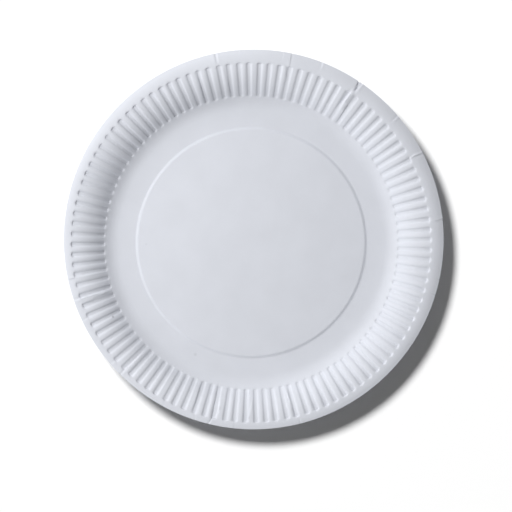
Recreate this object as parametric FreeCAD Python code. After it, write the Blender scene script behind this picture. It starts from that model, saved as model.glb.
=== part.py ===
# A round paper plate, pressed from one sheet of white board, with the eating side up.
#
# The middle is a low crowned panel. A narrow step leads down from it to a flat foot ring, which the
# plate rests on. The sheet then turns up through a knee and bends back over a shoulder to the flat
# crest of the rim. Radial flutes are pressed into this slope, and they end on the crest. Outside the
# crest a smooth lip rolls down to the cut edge. The blank lay a little off centre in the die, so the
# lip is wider on one side.
#
# Sizes are in millimetres and angles in degrees. +Z is up, and z = 0 is the underside of the foot.
# The origin is below the centre of the cut edge.

import FreeCAD, Part
import math
import os

# the sheet, its cut edge, and where the blank's centre lay in the die
plate_diameter = 230.0
sheet_thickness = 0.4
blank_offset_x = 1.5
blank_offset_y = 2.0

# the rim, from the cut edge inwards
lip_width = 5.1
lip_radius = 10.0
shoulder_radius = 21.8
slope_angle = 52.0
knee_radius = 14.6

# the middle, from the knee inwards
foot_width = 9.0
step_width = 0.9
step_height = 0.5
crown_height = 2.2

# the flutes, each with a pointed inner end and a blunt outer end
flute_count = 108
flute_length = 21.7
flute_depth = 1.2
flute_end_length = 1.5
flute_end_margin = 0.4
flute_mouth_share = 0.82
flute_flank_width = 1.4
flute_tip_width = 2.5
flute_phase = 0.9

# the number of sides that the panel is drawn with, and of bends in each curve of the section
panel_sides = 72
crown_bends = 2
knee_bends = 2
shoulder_bends = 3
lip_bend_share = 0.45

# what follows from the sizes above
plate_radius = plate_diameter / 2
blank_offset = math.hypot(blank_offset_x, blank_offset_y)
slope = math.radians(slope_angle)
pitch = 360 / flute_count
mouth_angle = math.radians(flute_mouth_share * pitch / 2)
flank_angle = math.atan(flute_depth / flute_flank_width)

lip_root_radius = plate_radius - lip_width
flute_outer_radius = lip_root_radius - flute_end_margin
crest_radius = flute_outer_radius - flute_end_length
flute_inner_radius = flute_outer_radius - flute_length
slope_radius = crest_radius - shoulder_radius * math.sin(slope)
knee_foot_radius = slope_radius - knee_radius * math.sin(slope)
panel_radius = knee_foot_radius - foot_width - step_width
uncut_radius = plate_radius + blank_offset + sheet_thickness
slope_height = sheet_thickness + knee_radius * (1 - math.cos(slope))
crest_height = slope_height + shoulder_radius * (1 - math.cos(slope))

origin = FreeCAD.Vector(0, 0, 0)
up = FreeCAD.Vector(0, 0, 1)


def arc_drop(radius, run):
    """How far an arc that starts level has dropped after a level run."""
    return radius - math.sqrt(radius**2 - run**2)


def corner(radius):
    """The corner of the plain section at a radius, on the eating side."""
    if radius <= panel_radius:
        height = sheet_thickness + step_height + crown_height * (1 - (radius / panel_radius) ** 2)
    elif radius <= knee_foot_radius:
        height = sheet_thickness
    elif radius <= slope_radius:
        height = sheet_thickness + arc_drop(knee_radius, radius - knee_foot_radius)
    elif radius <= crest_radius:
        height = crest_height - arc_drop(shoulder_radius, crest_radius - radius)
    elif radius <= lip_root_radius:
        height = crest_height
    else:
        height = crest_height - arc_drop(lip_radius, radius - lip_root_radius)
    return FreeCAD.Vector(radius, 0, height)


def bends(first_radius, last_radius, count):
    """The corners of a curve of the section that is pressed in a number of equal bends."""
    step = (last_radius - first_radius) / count
    return [corner(first_radius + step * i) for i in range(count + 1)]


def pushed_in(section, depth):
    """A section moved into the sheet by a depth, with every stretch parallel to where it was."""
    normals = []
    for start, end in zip(section, section[1:]):
        along = (end - start).normalize()
        normals.append(FreeCAD.Vector(along.z, 0, -along.x))
    moved = []
    for point, before, after in zip(section, normals[:1] + normals, normals + normals[-1:]):
        both = before + after
        moved.append(point + both * (2 * depth / both.dot(both)))
    return moved


def turned(point, angle):
    """A point turned about the plate's axis."""
    return FreeCAD.Rotation(up, angle).multVec(point)


def mirrored(point):
    """A point of the first flute, on its other flank."""
    return FreeCAD.Vector(point.x, -point.y, point.z)


def facet(*points):
    return Part.Face(Part.makePolygon([*points, points[0]]))


def across(low, high):
    """The facet between a line beside the first flute and its mirror image on the other flank."""
    return facet(low, high, mirrored(high), mirrored(low))


def across_ridge(low, high):
    """The facet from a line beside the first flute, over the ridge, to the same line beside the next."""
    return facet(low, high, turned(mirrored(high), pitch), turned(mirrored(low), pitch))


def repeated(faces, count):
    """Faces repeated all the way round."""
    return [face.rotated(origin, up, i * 360 / count) for i in range(count) for face in faces]


def round_face(start, end):
    """The face that a straight stretch of the section draws around the axis."""
    return Part.LineSegment(start, end).toShape().revolve(origin, up, 360)


def circle(point):
    return Part.Wire(Part.makeCircle(point.x, FreeCAD.Vector(0, 0, point.z)))


def outline(points, count):
    """The closed outline that some points draw when they are repeated all the way round."""
    every = [turned(point, i * 360 / count) for i in range(count) for point in points]
    return Part.makePolygon([*every, every[0]])


def flat_ring(outer, inner):
    return Part.makeFace([outer, inner], "Part::FaceMakerBullseye")


def middle_faces(middle, knee_foot):
    """The crowned panel and its step, and the foot ring as far as the knee."""
    sector = []
    for low, high in zip(middle, middle[1:]):
        corners = [low, high, turned(high, 360 / panel_sides), turned(low, 360 / panel_sides)]
        sector.append(facet(*corners[: 4 if low.x else 3]))
    foot_ring = flat_ring(outline([knee_foot], flute_count), outline([middle[-1]], panel_sides))
    return [*repeated(sector, panel_sides), foot_ring]


def flute_faces(knee, mouth, floor, tip):
    """One flute, with the knee below it and the ridge beside it."""
    pointed_end = knee[-1]
    sector = [across_ridge(low, high) for low, high in zip(knee, knee[1:])]
    sector.append(across_ridge(pointed_end, mouth[0]))
    sector += [across_ridge(low, high) for low, high in zip(mouth, mouth[1:])]
    sector.append(facet(pointed_end, floor[0], mirrored(floor[0])))
    sector += [across(low, high) for low, high in zip(floor, floor[1:])]
    sector.append(across(floor[-1], tip))
    flank = [facet(pointed_end, mouth[0], floor[0]), facet(mouth[-1], tip, floor[-1])]
    for i in range(shoulder_bends):
        flank.append(facet(mouth[i], mouth[i + 1], floor[i + 1], floor[i]))
    return sector + flank + [face.mirror(origin, FreeCAD.Vector(0, 1, 0)) for face in flank]


def make_side(depth):
    """One side of the sheet: the eating side at depth 0, the underside at the sheet's thickness."""
    middle = [*bends(0, panel_radius, crown_bends), corner(panel_radius + step_width)]
    knee = bends(knee_foot_radius, flute_inner_radius, knee_bends)
    ridge = bends(flute_inner_radius + flute_end_length, crest_radius, shoulder_bends)
    floor = pushed_in(ridge, flute_depth)
    tip = corner(flute_outer_radius)
    lip_radii = (lip_root_radius, lip_root_radius + lip_bend_share * lip_width, uncut_radius)
    lip = [corner(radius) for radius in lip_radii]

    # the corner beyond the axis keeps the middle of the crown on it
    beyond_axis = FreeCAD.Vector(-middle[1].x, 0, middle[1].z)
    plain = pushed_in([beyond_axis, *middle, *knee, *ridge, *lip], depth)
    fluted = pushed_in([beyond_axis, *middle, *knee, *floor, tip, *lip], depth)
    middle_end = 1 + len(middle)
    knee_end = middle_end + len(knee)
    floor_end = knee_end + len(floor)
    middle = fluted[1:middle_end]
    knee = fluted[middle_end:knee_end]
    ridge = plain[knee_end:floor_end]
    floor = fluted[knee_end:floor_end]
    tip = fluted[floor_end]
    lip = fluted[floor_end + 1 :]

    # on the underside the flanks stand further apart by what the sheet's thickness takes up
    spread = depth * math.tan(flank_angle / 2)
    taper = math.tan(mouth_angle)
    mouth = [point + FreeCAD.Vector(0, point.x * taper + spread, 0) for point in ridge]
    floor_spread = spread - flute_flank_width
    floor = [point + FreeCAD.Vector(0, point.x * taper + floor_spread, 0) for point in floor]
    tip = tip + FreeCAD.Vector(0, flute_tip_width / 2 + spread, 0)

    flute_ends = outline([mirrored(mouth[-1]), mirrored(tip), tip, mouth[-1]], flute_count)
    faces = middle_faces(middle, knee[0])
    faces += repeated(flute_faces(knee, mouth, floor, tip), flute_count)
    faces.append(flat_ring(circle(lip[0]), flute_ends))
    faces += [round_face(low, high) for low, high in zip(lip, lip[1:])]
    return faces, lip[-1]


def make_plate():
    """The pressed sheet, cut to the blank's edge and stood over the origin."""
    top, top_edge = make_side(0)
    under, under_edge = make_side(sheet_thickness)
    sheet = Part.makeCompound(top + under + [round_face(top_edge, under_edge)])
    sheet.sewShape(0.001)
    pressed = Part.Solid(sheet.Shells[0])
    pressed.rotate(origin, up, flute_phase)
    blank_foot = FreeCAD.Vector(blank_offset_x, blank_offset_y, 0)
    blank = Part.makeCylinder(plate_radius, 2 * crest_height, blank_foot, up)
    cut = pressed.common(blank)
    cut.translate(-blank_foot)
    return cut.Solids[0]


os.makedirs("parts", exist_ok=True)
plate = make_plate()
plate.exportStep("parts/plate.step")
box = plate.BoundBox
print("plate", "valid" if plate.isValid() else "not valid", round(plate.Volume, 1), "mm3")
print("size", round(box.XLength, 2), round(box.YLength, 2), round(box.ZLength, 2))
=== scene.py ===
"""The looks of a pressed paper plate: its sheet of board, its finish, and the studio round it."""

import logging
import math
import random
from dataclasses import dataclass, field
from enum import Enum

import bpy
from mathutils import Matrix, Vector


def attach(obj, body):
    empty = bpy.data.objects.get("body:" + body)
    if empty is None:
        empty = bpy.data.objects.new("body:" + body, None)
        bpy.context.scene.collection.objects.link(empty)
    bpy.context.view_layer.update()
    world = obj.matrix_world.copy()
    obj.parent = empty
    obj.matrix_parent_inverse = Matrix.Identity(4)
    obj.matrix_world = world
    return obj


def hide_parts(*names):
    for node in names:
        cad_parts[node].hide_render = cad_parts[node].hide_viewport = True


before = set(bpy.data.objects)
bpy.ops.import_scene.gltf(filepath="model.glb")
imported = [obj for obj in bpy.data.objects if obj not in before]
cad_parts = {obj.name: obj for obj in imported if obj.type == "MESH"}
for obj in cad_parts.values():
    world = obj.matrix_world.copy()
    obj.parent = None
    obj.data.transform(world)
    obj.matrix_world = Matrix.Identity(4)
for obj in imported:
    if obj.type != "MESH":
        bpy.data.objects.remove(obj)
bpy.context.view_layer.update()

MM = 0.001
# How many half widths of a fold the step beside it takes to die out.
STEP_FADE = 4.0
WHITE = (1.0, 1.0, 1.0, 1.0)
Colour = tuple[float, float, float]
Waves = tuple[float, float, float, float, float]
log = logging.getLogger("plate")


def eased(share: float) -> float:
    """Turn a share into a soft step.

    Args:
        share: How far along the step is, held to 0 and 1.

    Returns:
        The height of the step there, from 0 to 1, level at both ends.
    """
    share = min(max(share, 0.0), 1.0)
    return share * share * (3 - 2 * share)


def arc_drop(radius: float, run: float) -> float:
    """Work out how far an arc that starts level has dropped.

    Args:
        radius: The arc's radius.
        run: The level distance from its start.

    Returns:
        The drop at that distance.
    """
    return radius - math.sqrt(radius**2 - run**2)


class Fold(Enum):
    """How the board gave way at a crease, going counter-clockwise across it."""

    VALLEY = "down and up again"
    STEP_UP = "up"
    STEP_DOWN = "down"

    def rise(self, place: float) -> float:
        """Find how far the board stands out of the sheet beside the crease.

        Args:
            place: How far to one side, counter-clockwise, as a share of half the fold's width.

        Returns:
            The rise as a share of the fold's depth.
        """
        if self is Fold.VALLEY:
            return -math.exp(-place * place)
        step = math.tanh(place) * math.exp(-abs(place) / STEP_FADE)
        return step if self is Fold.STEP_UP else -step


@dataclass(frozen=True)
class Crease:
    """A line that the board folded along when it was pressed. Lengths are in millimetres.

    Attributes:
        bearing: Angle of the crease's outer end about the plate's centre, in degrees.
        start: How far in from the cut edge it starts.
        reach: How far in from the cut edge it runs.
        lean: How far it drifts sideways on its way in, counter-clockwise.
        depth: How deep the fold is.
        width: Half the width of the fold.
        fold: Which way the board went.
        gather: How far off the board is drawn in towards the fold.
        draw: How sharply it is drawn in, as a power of the distance from the fold.
        run_in: How long the fold takes to open where it starts.
        run_out: How long it takes to close at its inner end, as a share of its length.
    """

    bearing: float
    start: float
    reach: float
    lean: float = 0.0
    depth: float = 0.2
    width: float = 0.28
    fold: Fold = Fold.VALLEY
    gather: float = 1.3
    draw: float = 1.7
    run_in: float = 1.5
    run_out: float = 0.25

    def press(self, x: float, y: float, edge_radius: float) -> tuple[float, float, float]:
        """Press the crease into one point of the sheet.

        Args:
            x: The point's place across, from the plate's centre.
            y: The point's place up the picture, from the plate's centre.
            edge_radius: The radius of the cut edge.

        Returns:
            How far the point moves across, up the picture and out of the sheet.
        """
        radius = math.hypot(x, y)
        inwards = edge_radius - radius
        if not self.start - self.run_in < inwards < self.reach:
            return 0.0, 0.0, 0.0
        turn = math.degrees(math.atan2(y, x)) - self.bearing
        turn = math.radians((turn + 180) % 360 - 180)
        along = (inwards - self.start) / (self.reach - self.start)
        aside = turn * radius - self.lean * along
        if abs(aside) >= self.gather:
            return 0.0, 0.0, 0.0
        opened = eased(1 + (inwards - self.start) / self.run_in)
        strength = eased((1 - along) / self.run_out) * opened
        drawn = math.copysign(self.gather * (abs(aside) / self.gather) ** self.draw, aside)
        shift = strength * (drawn - aside)
        rise = self.depth * strength * self.fold.rise((aside + shift) / self.width)
        return -shift * y / radius, shift * x / radius, rise


@dataclass(frozen=True)
class PressedSection:
    """The plate's section without flutes, on the eating side. Lengths are in millimetres.

    Attributes:
        board: The board's thickness.
        plate_radius: The radius of the cut edge.
        lip_width: How wide the lip is.
        lip_radius: How tightly the lip rolls down.
        crest_width: How wide the level crest is.
        shoulder_radius: The bend from the slope up to the crest.
        slope_angle: The slope where it is steepest, in degrees.
        knee_radius: The bend from the table up into the slope.
        foot_width: How wide the flat foot ring is.
        step_width: How wide the step from the panel down to the foot ring is.
        step_height: How high that step is.
        crown_height: How much higher the panel's middle is than its edge.
        slope_probe: How far to each side the slope is measured.
    """

    board: float = 0.4
    plate_radius: float = 115.0
    lip_width: float = 5.1
    lip_radius: float = 13.8
    crest_width: float = 0.9
    shoulder_radius: float = 23.44
    slope_angle: float = 52.0
    knee_radius: float = 12.6
    foot_width: float = 10.2
    step_width: float = 2.1
    step_height: float = 0.84
    crown_height: float = 2.5
    slope_probe: float = 0.05

    @property
    def lip_root(self) -> float:
        """The radius where the lip starts to roll down."""
        return self.plate_radius - self.lip_width

    @property
    def crest(self) -> float:
        """The radius where the slope has reached its full height."""
        return self.lip_root - self.crest_width

    @property
    def steepest(self) -> float:
        """The radius where the knee passes into the shoulder."""
        return self.crest - self.shoulder_radius * math.sin(math.radians(self.slope_angle))

    @property
    def knee_foot(self) -> float:
        """The radius where the sheet leaves the table."""
        return self.steepest - self.knee_radius * math.sin(math.radians(self.slope_angle))

    @property
    def panel(self) -> float:
        """The radius of the crowned panel."""
        return self.knee_foot - self.foot_width - self.step_width

    @property
    def crest_height(self) -> float:
        """The height of the rim's crest."""
        bend = 1 - math.cos(math.radians(self.slope_angle))
        return self.board + (self.knee_radius + self.shoulder_radius) * bend

    def height(self, radius: float) -> float:
        """Find the height of the eating side.

        Args:
            radius: The distance from the die's axis.

        Returns:
            The height above the table.
        """
        if radius <= self.panel:
            crown = self.crown_height * (1 - (radius / self.panel) ** 2)
            return self.board + self.step_height + crown
        if radius <= self.knee_foot:
            return self.board + self.step_height * eased(1 - (radius - self.panel) / self.step_width)
        if radius <= self.steepest:
            return self.board + arc_drop(self.knee_radius, radius - self.knee_foot)
        if radius <= self.crest:
            return self.crest_height - arc_drop(self.shoulder_radius, self.crest - radius)
        return self.crest_height - arc_drop(self.lip_radius, max(radius - self.lip_root, 0.0))

    def slope(self, radius: float) -> float:
        """Find the steepness of the eating side at a radius, as its rise over run outwards."""
        probe = self.slope_probe
        return (self.height(radius + probe) - self.height(radius - probe)) / (2 * probe)


def summed(waves: Waves, angle: float) -> float:
    """Add up slow waves around the plate.

    Args:
        waves: The steady part, then the heights of the cosine and the sine of the angle, and of
            twice the angle.
        angle: The angle about the axis, in radians.

    Returns:
        The sum at that angle.
    """
    shapes = (1, math.cos(angle), math.sin(angle), math.cos(2 * angle), math.sin(2 * angle))
    return sum(height * shape for height, shape in zip(waves, shapes))


@dataclass(frozen=True)
class FlutedBand:
    """The flutes pressed into the slope, each a groove with round ends.

    Attributes:
        count: How many flutes there are.
        depth: How deep they are at their outer ends, in millimetres.
        taper: How much shallower they are a millimetre further in, as a share.
        phase: Bearing of the first one about the die's axis, in degrees.
        drift: How the flutes stray from an even pitch, in shares of the pitch: a steady one,
            those that go with the cosine and the sine of the bearing, and of twice the bearing.
        swell: How the depth changes around the plate, in shares of it, in the same five parts.
        floor_share: Half the level floor of a groove, as a share of half the pitch.
        brow_share: Half the whole groove, as a share of half the pitch.
        inner_centre: The radius that the round inner end is drawn about, in millimetres.
        outer_centre: The radius that the round outer end is drawn about, in millimetres.
        end_squash: How long a round end is, as a share of its half width.
        margin: How far past the centres of the round ends a flute is looked for, in millimetres.
        column_places: Where the columns of mesh points stand, from the middle of a groove to the
            middle of the ridge beside it, in shares of the pitch.
        depth_play: The spread of the depths, as a share.
        place_play: The spread of the places, as a share of the pitch.
        seed: The seed of the play.
    """

    count: int = 108
    depth: float = 0.93
    taper: float = 0.021
    phase: float = 0.9
    drift: Waves = (0.003, 0.087, -0.115, -0.041, -0.031)
    swell: Waves = (0.0, 0.04, -0.065, 0.11, -0.125)
    floor_share: float = 0.2
    brow_share: float = 0.68
    inner_centre: float = 89.4
    outer_centre: float = 108.2
    end_squash: float = 0.58
    margin: float = 3.0
    column_places: tuple[float, ...] = (0.0, 0.095, 0.15, 0.205, 0.26, 0.345, 0.5)
    depth_play: float = 0.07
    place_play: float = 0.03
    seed: int = 5

    def half_pitch(self, radius: float) -> float:
        """Find half the width of a flute and its ridge at a radius, in millimetres."""
        return math.pi * radius / self.count

    @property
    def inner_end(self) -> float:
        """The radius of the flutes' inner ends."""
        reach = self.brow_share * self.end_squash
        return self.inner_centre - reach * self.half_pitch(self.inner_centre)

    @property
    def outer_end(self) -> float:
        """The radius of the flutes' outer ends."""
        reach = self.brow_share * self.end_squash
        return self.outer_centre + reach * self.half_pitch(self.outer_centre)

    def strayed(self, angle: float) -> float:
        """Find how far counter-clockwise the flutes stray at an angle, as a share of the pitch."""
        return summed(self.drift, angle)

    def column_angle(self, angle: float) -> float:
        """Move a column of mesh points along with its flute, and in towards the flute's flanks.

        Args:
            angle: The column's even angle about the die's axis, in radians.

        Returns:
            The angle that it is pressed at, in radians.
        """
        turns = (math.degrees(angle) - self.phase) * self.count / 360
        flute = round(turns)
        last = len(self.column_places) - 1
        place = min(2 * abs(turns - flute), 1.0) * last
        before = min(int(place), last - 1)
        start, end = self.column_places[before : before + 2]
        across = math.copysign(start + (end - start) * (place - before), turns - flute)
        turns = flute + across + self.strayed(angle)
        return math.radians(self.phase + turns * 360 / self.count)

    def plays(self) -> list[tuple[float, float]]:
        """Draw how each flute differs from the even one.

        Returns:
            For each flute its depth as a share, and its shift as a share of the pitch.
        """
        draw = random.Random(self.seed)
        return [
            (1 + draw.gauss(0, self.depth_play), draw.gauss(0, self.place_play))
            for _ in range(self.count)
        ]

    def pressed(self, radius: float, angle: float, plays: list[tuple[float, float]]) -> float:
        """Find how deep the flutes lie below the plain sheet at a point.

        Args:
            radius: The distance from the die's axis, in millimetres.
            angle: The angle about it, in radians.
            plays: What plays() gave.

        Returns:
            The depth along the sheet's normal, in millimetres.
        """
        if not self.inner_centre - self.margin < radius < self.outer_centre + self.margin:
            return 0.0
        turns = (math.degrees(angle) - self.phase) * self.count / 360 - self.strayed(angle)
        flute = round(turns)
        share, shift = plays[flute % self.count]
        across = 2 * abs(turns - flute - shift)
        beyond = max(self.inner_centre - radius, radius - self.outer_centre, 0.0)
        away = math.hypot(across, beyond / (self.end_squash * self.half_pitch(radius)))
        flank = (away - self.floor_share) / (self.brow_share - self.floor_share)
        share *= 1 + summed(self.swell, angle)
        depth = self.depth * share * (1 - self.taper * (self.outer_centre - radius))
        return depth * (1 - eased(flank))


@dataclass(frozen=True)
class Speck:
    """A grey speck in the board. Lengths are in millimetres.

    Attributes:
        place: Where it lies, from the plate's centre.
        radius: How far out it fades away.
        darkness: How much darker its middle is, as a share.
    """

    place: tuple[float, float]
    radius: float
    darkness: float


@dataclass(frozen=True)
class BoardFinish:
    """White uncoated board: a faint cloudy tone, a fibre grain and a few specks in the pulp.

    Attributes:
        colour: The board's colour.
        cloud: How far the cloudy tone strays, as a share.
        cloud_scale: How many clouds there are to a metre.
        cloud_detail: How many finer layers the clouds have.
        cloud_span: The part of the clouds' range that the tone runs over.
        fibre_scale: How many fibres there are to a metre.
        fibre_detail: How many finer layers the fibres have.
        fibre_edge: How strong the finer layers are.
        grain_height: How high the fibres stand, in metres.
        roughness: How dull the board is.
        specular: How strongly it mirrors.
        specks: The specks in the pulp.
    """

    colour: Colour = (0.67, 0.689, 0.743)
    cloud: float = 0.02
    cloud_scale: float = 55.0
    cloud_detail: float = 5.0
    cloud_span: tuple[float, float] = (0.3, 0.7)
    fibre_scale: float = 700.0
    fibre_detail: float = 6.0
    fibre_edge: float = 0.65
    grain_height: float = 0.00004
    roughness: float = 0.78
    specular: float = 0.3
    specks: tuple[Speck, ...] = (
        Speck((-85.3, -46.9), 1.1, 0.42),
        Speck((-65.2, -2.9), 1.0, 0.08),
        Speck((-35.4, -69.8), 1.5, 0.13),
    )

    def build(self) -> bpy.types.Material:
        """Build the material.

        Returns:
            The material, with patterns that lie still on the plate.
        """
        material = bpy.data.materials.new("white_board")
        material.use_nodes = True
        tree = material.node_tree
        shader = tree.nodes["Principled BSDF"]
        shader.inputs["Roughness"].default_value = self.roughness
        shader.inputs["Specular IOR Level"].default_value = self.specular
        place = tree.nodes.new("ShaderNodeTexCoord").outputs["Object"]
        toned = self.specked(tree, place, self.clouded(tree, place))
        coloured = tree.nodes.new("ShaderNodeVectorMath")
        coloured.operation = "SCALE"
        coloured.inputs[0].default_value = self.colour
        tree.links.new(toned, coloured.inputs["Scale"])
        tree.links.new(coloured.outputs["Vector"], shader.inputs["Base Color"])
        tree.links.new(self.grained(tree, place), shader.inputs["Normal"])
        return material

    def clouded(self, tree: bpy.types.NodeTree, place: bpy.types.NodeSocket) -> bpy.types.NodeSocket:
        """Make the cloudy tone.

        Args:
            tree: The material's nodes.
            place: The place on the plate.

        Returns:
            The tone, about 1.
        """
        cloud = tree.nodes.new("ShaderNodeTexNoise")
        cloud.inputs["Scale"].default_value = self.cloud_scale
        cloud.inputs["Detail"].default_value = self.cloud_detail
        tree.links.new(place, cloud.inputs["Vector"])
        tone = tree.nodes.new("ShaderNodeMapRange")
        tone.inputs["From Min"].default_value = self.cloud_span[0]
        tone.inputs["From Max"].default_value = self.cloud_span[1]
        tone.inputs["To Min"].default_value = 1 - self.cloud
        tone.inputs["To Max"].default_value = 1 + self.cloud
        tree.links.new(cloud.outputs["Fac"], tone.inputs["Value"])
        return tone.outputs["Result"]

    def specked(
        self, tree: bpy.types.NodeTree, place: bpy.types.NodeSocket, tone: bpy.types.NodeSocket
    ) -> bpy.types.NodeSocket:
        """Darken the tone at the specks.

        Args:
            tree: The material's nodes.
            place: The place on the plate.
            tone: The tone without specks.

        Returns:
            The tone with them.
        """
        level = tree.nodes.new("ShaderNodeVectorMath")
        level.operation = "MULTIPLY"
        level.inputs[1].default_value = (1, 1, 0)
        tree.links.new(place, level.inputs[0])
        for speck in self.specks:
            away = tree.nodes.new("ShaderNodeVectorMath")
            away.operation = "DISTANCE"
            away.inputs[1].default_value = (speck.place[0] * MM, speck.place[1] * MM, 0)
            tree.links.new(level.outputs["Vector"], away.inputs[0])
            paleness = tree.nodes.new("ShaderNodeMapRange")
            paleness.interpolation_type = "SMOOTHSTEP"
            paleness.inputs["From Max"].default_value = speck.radius * MM
            paleness.inputs["To Min"].default_value = 1 - speck.darkness
            tree.links.new(away.outputs["Value"], paleness.inputs["Value"])
            darkened = tree.nodes.new("ShaderNodeMath")
            darkened.operation = "MULTIPLY"
            tree.links.new(tone, darkened.inputs[0])
            tree.links.new(paleness.outputs["Result"], darkened.inputs[1])
            tone = darkened.outputs["Value"]
        return tone

    def grained(self, tree: bpy.types.NodeTree, place: bpy.types.NodeSocket) -> bpy.types.NodeSocket:
        """Raise the grain of the fibres.

        Args:
            tree: The material's nodes.
            place: The place on the plate.

        Returns:
            The grained surface's normal.
        """
        fibres = tree.nodes.new("ShaderNodeTexNoise")
        fibres.inputs["Scale"].default_value = self.fibre_scale
        fibres.inputs["Detail"].default_value = self.fibre_detail
        fibres.inputs["Roughness"].default_value = self.fibre_edge
        tree.links.new(place, fibres.inputs["Vector"])
        bump = tree.nodes.new("ShaderNodeBump")
        bump.inputs["Distance"].default_value = self.grain_height
        tree.links.new(fibres.outputs["Fac"], bump.inputs["Height"])
        return bump.outputs["Normal"]


@dataclass
class PaperPlate:
    """The plate as one sheet of pressed board. Lengths are in millimetres.

    Attributes:
        section: The section it is pressed to.
        band: Its flutes.
        finish: Its finish.
        blank_offset: Where the blank's centre lay in the die. The cut edge is round about it.
        middle_columns: How many columns of mesh points run on into the middle of the plate, in
            the pitch of one flute.
        disc_radius: The radius of the flat disc that the sheet is drawn out from.
        step_margins: How far before and past the step its close rings run.
        foot_inset: How far inside the knee the columns of mesh points are split.
        panel_rings: How many rings the panel is drawn out in.
        step_rings: How many the step is.
        knee_rings: How many the knee is.
        flute_rings: How many the straight part of the flutes is.
        end_rings: How many each round end of the flutes is.
        lip_rings: How many the crest and the lip are.
        weld_distance: How near each other points are merged, in metres.
        smooth_angle: Up to what angle faces are shaded as one, in degrees.
        creases: Its creases.
    """

    section: PressedSection = PressedSection()
    band: FlutedBand = FlutedBand()
    finish: BoardFinish = BoardFinish()
    blank_offset: tuple[float, float] = (1.5, 2.0)
    middle_columns: int = 4
    disc_radius: float = 5.0
    step_margins: tuple[float, float] = (1.0, 0.2)
    foot_inset: float = 3.0
    panel_rings: int = 4
    step_rings: int = 10
    knee_rings: int = 4
    flute_rings: int = 10
    end_rings: int = 5
    lip_rings: int = 5
    weld_distance: float = 0.00001
    smooth_angle: float = 50.0
    creases: list[Crease] = field(default_factory=list)

    def rings(self) -> tuple[list[float], list[float]]:
        """List the radii that the sheet is drawn out to, closer together where it bends more.

        Returns:
            The radii from the middle of the panel to the flat foot ring, and from there to the
            cut edge.
        """
        section = self.section
        band = self.band

        def stretch(start: float, end: float, parts: int) -> list[float]:
            """Divide a stretch evenly, without its end."""
            return [start + (end - start) * i / parts for i in range(parts)]

        step_brow = section.panel - self.step_margins[0]
        step_foot = section.panel + section.step_width + self.step_margins[1]
        middle = [
            *stretch(self.disc_radius, step_brow, self.panel_rings),
            *stretch(step_brow, step_foot, self.step_rings),
            step_foot,
            section.knee_foot - self.foot_inset,
        ]
        return middle, [
            *stretch(section.knee_foot, band.inner_end, self.knee_rings),
            *stretch(band.inner_end, band.inner_centre, self.end_rings),
            *stretch(band.inner_centre, band.outer_centre, self.flute_rings),
            *stretch(band.outer_centre, band.outer_end, self.end_rings),
            *stretch(band.outer_end, section.plate_radius, self.lip_rings),
            section.plate_radius,
        ]

    def draw_out(self) -> bpy.types.Object:
        """Draw the flat blank out ring by ring, as far as the cut edge.

        Returns:
            The sheet, open underneath, with its middle on the die's axis.
        """
        middle_rings, rim_rings = self.rings()
        axis = Vector((-self.blank_offset[0] * MM, -self.blank_offset[1] * MM, 0.0))
        bpy.ops.object.select_all(action="DESELECT")
        bpy.ops.mesh.primitive_circle_add(
            vertices=self.band.count * self.middle_columns,
            radius=middle_rings[0] * MM,
            fill_type="TRIFAN",
            location=axis,
            rotation=(0, 0, math.radians(self.band.phase)),
        )
        sheet = bpy.context.object
        sheet.name = "plate_board"
        bpy.ops.object.transform_apply(location=True, rotation=True, scale=True)
        bpy.ops.object.mode_set(mode="EDIT")
        bpy.ops.mesh.select_mode(type="EDGE")
        bpy.ops.mesh.select_all(action="SELECT")
        bpy.ops.mesh.region_to_loop()
        columns = 2 * (len(self.band.column_places) - 1)
        radius = middle_rings[0]
        for outer in middle_rings[1:] + rim_rings:
            if outer == rim_rings[0]:
                bpy.ops.mesh.subdivide(number_cuts=columns // self.middle_columns - 1)
                bpy.ops.mesh.select_all(action="SELECT")
                bpy.ops.mesh.region_to_loop()
            grown = outer / radius
            bpy.ops.mesh.extrude_edges_move()
            bpy.ops.transform.resize(value=(grown, grown, 1), center_override=axis)
            radius = outer
        bpy.ops.object.mode_set(mode="OBJECT")
        return sheet

    def cut_to_edge(self, radius: float, angle: float) -> float:
        """Draw the lip in or out, so that it ends at the cut edge.

        Args:
            radius: The point's even distance from the die's axis.
            angle: The angle about it, in radians.

        Returns:
            The distance from the die's axis that the point is pressed at.
        """
        section = self.section
        if radius <= section.lip_root:
            return radius
        offset_x, offset_y = self.blank_offset
        turn = angle - math.atan2(offset_y, offset_x)
        offset = math.hypot(offset_x, offset_y)
        across = offset * math.sin(turn)
        edge = offset * math.cos(turn) + math.sqrt(section.plate_radius**2 - across**2)
        share = (radius - section.lip_root) / (section.plate_radius - section.lip_root)
        return section.lip_root + share * (edge - section.lip_root)

    def creased(self, x: float, y: float) -> tuple[float, float, float]:
        """Press all the creases into one point of the sheet.

        Args:
            x: The point's place across, from the plate's centre.
            y: The point's place up the picture, from the plate's centre.

        Returns:
            How far the point moves across, up the picture and out of the sheet.
        """
        edge = self.section.plate_radius
        moves = [crease.press(x, y, edge) for crease in self.creases]
        shift_x, shift_y, rise = (sum(parts) for parts in zip((0.0, 0.0, 0.0), *moves))
        return shift_x, shift_y, rise

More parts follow.
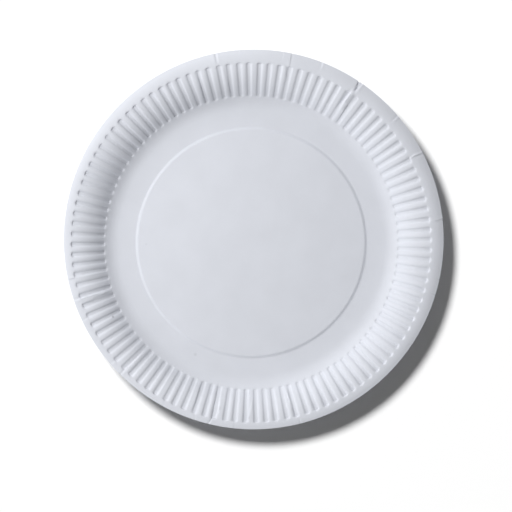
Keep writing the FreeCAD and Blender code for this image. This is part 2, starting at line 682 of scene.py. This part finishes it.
    def press(self, sheet: bpy.types.Object) -> None:
        """Press the drawn sheet into its section, its flutes and its creases.

        Args:
            sheet: The flat sheet from draw_out().
        """
        section = self.section
        offset_x, offset_y = self.blank_offset
        plays = self.band.plays()
        for vertex in sheet.data.vertices:
            x = vertex.co.x / MM + offset_x
            y = vertex.co.y / MM + offset_y
            angle = self.band.column_angle(math.atan2(y, x))
            radius = self.cut_to_edge(math.hypot(x, y), angle)
            x = radius * math.cos(angle) - offset_x
            y = radius * math.sin(angle) - offset_y
            shift_x, shift_y, rise = self.creased(x, y)
            x += shift_x
            y += shift_y
            radius = math.hypot(x + offset_x, y + offset_y)
            angle = math.atan2(y + offset_y, x + offset_x)
            rise -= self.band.pressed(radius, angle, plays)
            slope = section.slope(radius)
            level = 1 / math.hypot(slope, 1)
            outwards = -rise * slope * level
            vertex.co = (
                (x + outwards * math.cos(angle)) * MM,
                (y + outwards * math.sin(angle)) * MM,
                (section.height(radius) + rise * level) * MM,
            )

    def thicken(self, sheet: bpy.types.Object) -> None:
        """Give the sheet the board's thickness below its eating side.

        Args:
            sheet: The pressed sheet.
        """
        bpy.ops.object.mode_set(mode="EDIT")
        bpy.ops.mesh.select_all(action="SELECT")
        bpy.ops.mesh.remove_doubles(threshold=self.weld_distance)
        bpy.ops.object.mode_set(mode="OBJECT")
        solid = sheet.modifiers.new("board", "SOLIDIFY")
        solid.thickness = self.section.board * MM
        solid.offset = -1.0
        solid.use_quality_normals = True
        bpy.ops.object.modifier_apply(modifier=solid.name)
        bpy.ops.object.shade_smooth_by_angle(angle=math.radians(self.smooth_angle))

    def build(self) -> bpy.types.Object:
        """Build the finished plate in the place of the solid.

        Returns:
            The plate's mesh object.
        """
        sheet = self.draw_out()
        self.press(sheet)
        self.thicken(sheet)
        sheet.data.materials.clear()
        sheet.data.materials.append(self.finish.build())
        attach(sheet, "root")
        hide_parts("plate")
        return sheet


def plate_creases() -> list[Crease]:
    """List the creases of this plate, counter-clockwise from the right.

    Returns:
        The creases, most of them in the lip.
    """
    up = Fold.STEP_UP
    down = Fold.STEP_DOWN
    return [
        Crease(6.2, 0.0, 6.5, lean=-1.4, fold=up),
        Crease(27.0, 0.0, 7.5, lean=0.8, depth=0.34, fold=up),
        Crease(27.9, 4.5, 10.0, lean=-1.2, depth=0.3, fold=down),
        Crease(40.4, 0.0, 4.5, lean=-0.3, depth=0.32, fold=down),
        Crease(54.96, 0.0, 7.0, lean=0.3, depth=0.25, fold=down),
        Crease(56.33, 0.0, 6.8, lean=-1.6, depth=1.3, width=0.24, gather=1.8),
        Crease(56.6, 8.6, 20.5, lean=0.9, depth=0.92, width=0.6, fold=down, gather=1.7),
        Crease(55.15, 15.0, 29.0, lean=-0.75, depth=0.35, width=0.25, fold=up),
        Crease(68.6, 0.0, 5.0, lean=-0.5, fold=down),
        Crease(78.5, 0.0, 8.5, lean=-0.3, depth=0.22, fold=up),
        Crease(79.3, 0.0, 5.5, lean=0.2, depth=0.13, width=0.2, fold=up),
        Crease(79.5, 8.4, 18.7, lean=-2.9, depth=0.25, fold=up),
        Crease(80.8, 0.5, 5.0, depth=0.1, fold=down),
        Crease(94.4, 0.0, 3.5, depth=0.1, fold=down),
        Crease(100.1, 10.0, 27.0, lean=-2.2, depth=0.2, fold=up),
        Crease(101.3, 0.0, 6.5, lean=-0.2, depth=0.16, fold=down),
        Crease(102.1, 0.0, 6.5, fold=up),
        Crease(108.8, 9.0, 27.0, lean=1.2, depth=0.35, fold=up),
        Crease(192.2, 1.0, 5.0, depth=0.2, fold=down),
        Crease(192.0, 11.0, 19.0, depth=0.3, fold=up),
        Crease(198.8, 1.5, 24.0, lean=0.6, depth=0.4, fold=up),
        Crease(200.2, 11.0, 24.0, lean=-0.4, depth=0.3, fold=down),
        Crease(205.7, 0.0, 6.0, lean=-1.0, depth=0.15, fold=up),
        Crease(221.3, 1.0, 5.0, depth=0.15, fold=up),
        Crease(225.6, 0.6, 7.0, lean=-0.5, depth=0.3, fold=up),
        Crease(225.4, 6.0, 20.0, lean=0.5, depth=0.38, fold=up),
        Crease(241.0, 0.0, 5.0, depth=0.08, fold=down),
        Crease(250.4, 9.0, 24.0, lean=-1.0, depth=0.3, fold=down),
        Crease(252.2, 0.0, 6.0, lean=-1.9, depth=0.12, fold=up),
        Crease(256.3, 0.0, 5.0, lean=1.2, depth=0.35, width=0.22),
        Crease(256.8, 4.5, 27.0, lean=-0.7, depth=0.3),
        Crease(258.6, 7.5, 14.5, lean=-1.2, depth=0.5, width=0.2, fold=up),
        Crease(263.8, 0.0, 7.0, depth=0.07, fold=down),
        Crease(268.2, 6.5, 17.0, lean=1.9, depth=0.55, width=0.2, fold=up),
        Crease(282.5, 13.7, 23.5, lean=-1.2, depth=0.5, width=0.22, fold=up),
        Crease(283.1, 6.0, 13.0, lean=-0.3, depth=0.35, fold=down),
        Crease(284.3, 0.0, 3.5, depth=0.2),
        Crease(326.0, 0.0, 2.0),
        Crease(342.8, 0.0, 2.0),
        Crease(347.5, 0.0, 2.0),
    ]


@dataclass(frozen=True)
class Softbox:
    """An oval softbox that faces the plate.

    Attributes:
        name: The lamp's name.
        azimuth: Where it stands, in degrees counter-clockwise from the right of the picture.
        elevation: How high it stands, in degrees.
        width: Its width, in metres.
        strength: Its light on a card that faces it. At 1 a colour shows as it is written.
        distance: How far from the plate it stands, in metres.
        height_share: Its height, as a share of its width.
    """

    name: str
    azimuth: float
    elevation: float
    width: float
    strength: float
    distance: float = 1.2
    height_share: float = 1.0


@dataclass(frozen=True)
class Studio:
    """A white floor, softboxes all round, a lamp that draws the shadow, and the camera.

    Attributes:
        softboxes: The lamps that light the plate.
        sky_strength: The even light from all round, where 1 is white.
        floor_colour: The floor's colour.
        floor_size: How wide the floor is, in metres.
        floor_drop: How far it lies below the plate's foot, in metres.
        floor_lamp: The lamp that lights the floor and draws the plate's shadow.
        camera_place: What the camera looks down on, in metres from the plate's centre.
        camera_view: How wide the picture is at the rim, in metres.
        camera_lens: The focal length, in millimetres.
        camera_reach: How far the camera sees, in metres.
        rim_height: The height that the picture is measured at, in metres.
    """

    softboxes: tuple[Softbox, ...] = (
        Softbox("key", 160.0, 50.0, 0.2, 0.64),
        Softbox("window", 160.0, 20.0, 1.0, 0.41),
        Softbox("fill_top", 70.0, 25.0, 1.0, 0.284),
        Softbox("fill_bottom", 250.0, 25.0, 1.0, 0.235),
        Softbox("fill_right", 340.0, 30.0, 1.0, 0.08),
    )
    sky_strength: float = 0.14
    floor_colour: Colour = (0.93, 0.93, 0.93)
    floor_size: float = 12.0
    floor_drop: float = 0.0001
    floor_lamp: Softbox = Softbox("floor_lamp", 130.7, 46.6, 6.4, 1.335, 20.0, height_share=0.73)
    camera_place: tuple[float, float] = (0.00138, -0.01005)
    camera_view: float = 0.3101
    camera_lens: float = 1000.0
    camera_reach: float = 100.0
    rim_height: float = 0.0125

    def lay_floor(self) -> bpy.types.Object:
        """Lay the floor just under the plate.

        Returns:
            The floor.
        """
        bpy.ops.object.select_all(action="DESELECT")
        bpy.ops.mesh.primitive_plane_add(size=self.floor_size, location=(0, 0, -self.floor_drop))
        floor = bpy.context.object
        floor.name = "floor"
        bpy.ops.object.transform_apply(location=True)
        material = bpy.data.materials.new("floor_paper")
        material.use_nodes = True
        shader = material.node_tree.nodes["Principled BSDF"]
        shader.inputs["Base Color"].default_value = (*self.floor_colour, 1)
        shader.inputs["Roughness"].default_value = 1.0
        shader.inputs["Specular IOR Level"].default_value = 0.0
        floor.data.materials.append(material)
        return floor

    def towards(self, azimuth: float, elevation: float) -> Vector:
        """Find the way from the plate to a lamp.

        Args:
            azimuth: Where it stands, in degrees counter-clockwise from the right of the picture.
            elevation: How high it stands, in degrees.

        Returns:
            The way there, one metre long.
        """
        turn, rise = math.radians(azimuth), math.radians(elevation)
        level = math.cos(rise)
        return Vector((math.cos(turn) * level, math.sin(turn) * level, math.sin(rise)))

    def hang(self, box: Softbox, lit: bpy.types.Object) -> None:
        """Hang a softbox that lights one object alone, while the others still cast its shadows.

        Args:
            box: The softbox.
            lit: What it lights.
        """
        way = self.towards(box.azimuth, box.elevation)
        bpy.ops.object.light_add(type="AREA", location=way * box.distance)
        lamp = bpy.context.object
        lamp.name = box.name
        lamp.rotation_euler = way.to_track_quat("Z", "Y").to_euler()
        lamp.visible_camera = False
        lamp.data.shape = "ELLIPSE"
        lamp.data.size = box.width
        lamp.data.size_y = box.width * box.height_share
        lamp.data.energy = box.strength * (math.pi * box.distance) ** 2
        receivers = bpy.data.collections.new(f"lit_by_{box.name}")
        receivers.objects.link(lit)
        lamp.light_linking.receiver_collection = receivers

    def light(self, plate: bpy.types.Object, floor: bpy.types.Object) -> None:
        """Hang the lamps and set the even light.

        Args:
            plate: The plate.
            floor: The floor.
        """
        for box in self.softboxes:
            self.hang(box, plate)
        self.hang(self.floor_lamp, floor)
        self.set_world()

    def set_world(self) -> None:
        """Set the even light from all round, and the white that shows behind everything."""
        world = bpy.data.worlds.new("even_light")
        bpy.context.scene.world = world
        world.use_nodes = True
        nodes = world.node_tree.nodes
        link = world.node_tree.links.new
        sky = nodes["Background"]
        sky.inputs["Color"].default_value = WHITE
        sky.inputs["Strength"].default_value = self.sky_strength
        white = nodes.new("ShaderNodeBackground")
        white.inputs["Color"].default_value = WHITE
        white.inputs["Strength"].default_value = 1.0
        ray = nodes.new("ShaderNodeLightPath")
        mix = nodes.new("ShaderNodeMixShader")
        shown = ray.outputs["Is Camera Ray"]
        for kind in ("Is Glossy Ray", "Is Transmission Ray"):
            either = nodes.new("ShaderNodeMath")
            either.operation = "MAXIMUM"
            link(shown, either.inputs[0])
            link(ray.outputs[kind], either.inputs[1])
            shown = either.outputs["Value"]
        link(shown, mix.inputs["Fac"])
        link(sky.outputs["Background"], mix.inputs[1])
        link(white.outputs["Background"], mix.inputs[2])
        link(mix.outputs["Shader"], nodes["World Output"].inputs["Surface"])

    def place_camera(self) -> None:
        """Place the camera straight above the plate, with the picture's up along +Y."""
        data = bpy.data.cameras.new("overhead")
        data.lens = self.camera_lens
        camera = bpy.data.objects.new("overhead", data)
        bpy.context.scene.collection.objects.link(camera)
        distance = self.camera_view * data.lens / data.sensor_width
        camera.location = (*self.camera_place, self.rim_height + distance)
        data.clip_end = self.camera_reach
        bpy.context.scene.camera = camera
        bpy.context.scene.view_settings.view_transform = "Standard"


def main() -> None:
    """Build the plate, then the studio, and write how large the visual model is."""
    logging.basicConfig(level=logging.INFO, format="%(message)s")
    plate = PaperPlate(creases=plate_creases()).build()
    log.info("plate: %d faces", len(plate.data.polygons))
    studio = Studio()
    floor = studio.lay_floor()
    studio.light(plate, floor)
    studio.place_camera()
    log.info("studio: floor, lamps and camera")


if __name__ == "__main__":
    main()
